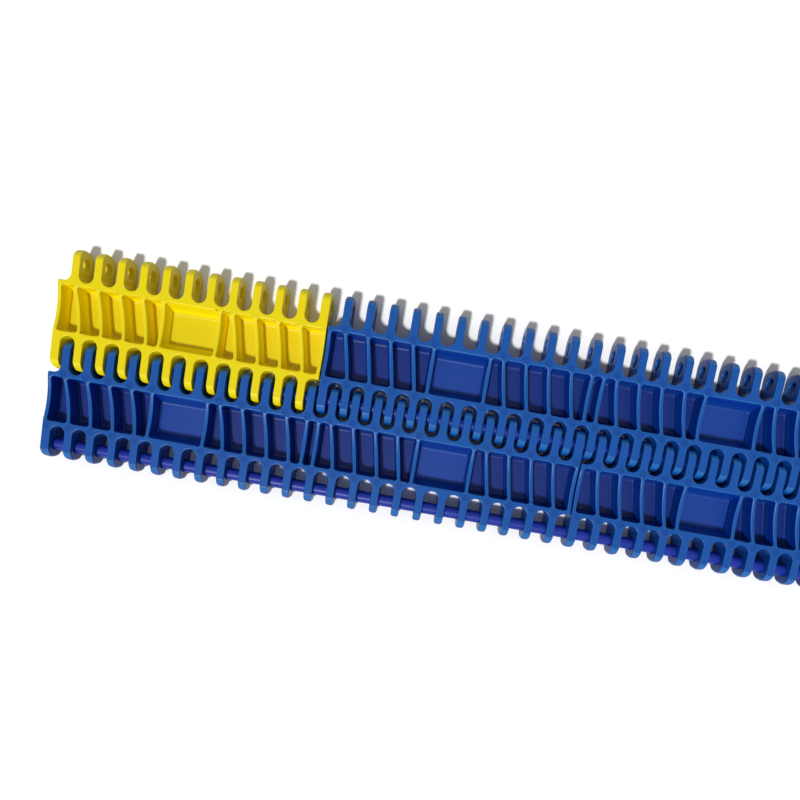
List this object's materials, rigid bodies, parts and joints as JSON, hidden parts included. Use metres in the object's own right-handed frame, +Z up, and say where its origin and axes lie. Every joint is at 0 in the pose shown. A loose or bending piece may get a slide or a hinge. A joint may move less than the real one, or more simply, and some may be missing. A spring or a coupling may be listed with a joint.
{
  "type": "modular plastic conveyor belt section",
  "caption": "Flat-top modular belt section, drive side up: moulded modules in two rows, one yellow, laid like bricks, with hinge fingers, drive pockets and plain rods.",
  "frame": {"origin": "under the middle of the hinge rod, on the carrying face that the belt lies on", "axes": "+X across the belt along the rods, +Y along the travel towards the row that swings, +Z up out of the drive side"},
  "size_m": [0.4564, 0.118, 0.015],
  "materials": {
    "yellow_plastic": "satin moulded",
    "blue_plastic": "satin moulded",
    "rod_plastic": "glossy drawn"
  },
  "bodies": {
    "front_row": {"module_front_left": "blue_plastic", "module_front_right": "blue_plastic"},
    "rear_left": {"module_rear_left": "yellow_plastic"},
    "rear_right": {"module_rear_right": "blue_plastic"},
    "hinge_rod": {"hinge_rod": "rod_plastic"},
    "end_rod": {"end_rod": "rod_plastic"}
  },
  "joints": [
    {"name": "rear_left_hinge", "type": "hinge", "parent": "front_row", "child": "rear_left", "pos_m": [0, 0, 0.0075], "axis": [1, 0, 0], "range_deg": [-95, 95]},
    {"name": "rear_right_hinge", "type": "hinge", "parent": "front_row", "child": "rear_right", "pos_m": [0, 0, 0.0075], "axis": [1, 0, 0], "range_deg": [-95, 95]},
    {"name": "hinge_rod_spin", "type": "hinge", "parent": "front_row", "child": "hinge_rod", "pos_m": [0, 0, 0.0075], "axis": [1, 0, 0], "continuous": true},
    {"name": "end_rod_spin", "type": "hinge", "parent": "front_row", "child": "end_rod", "pos_m": [0, -0.0508, 0.0075], "axis": [1, 0, 0], "continuous": true}
  ]
}
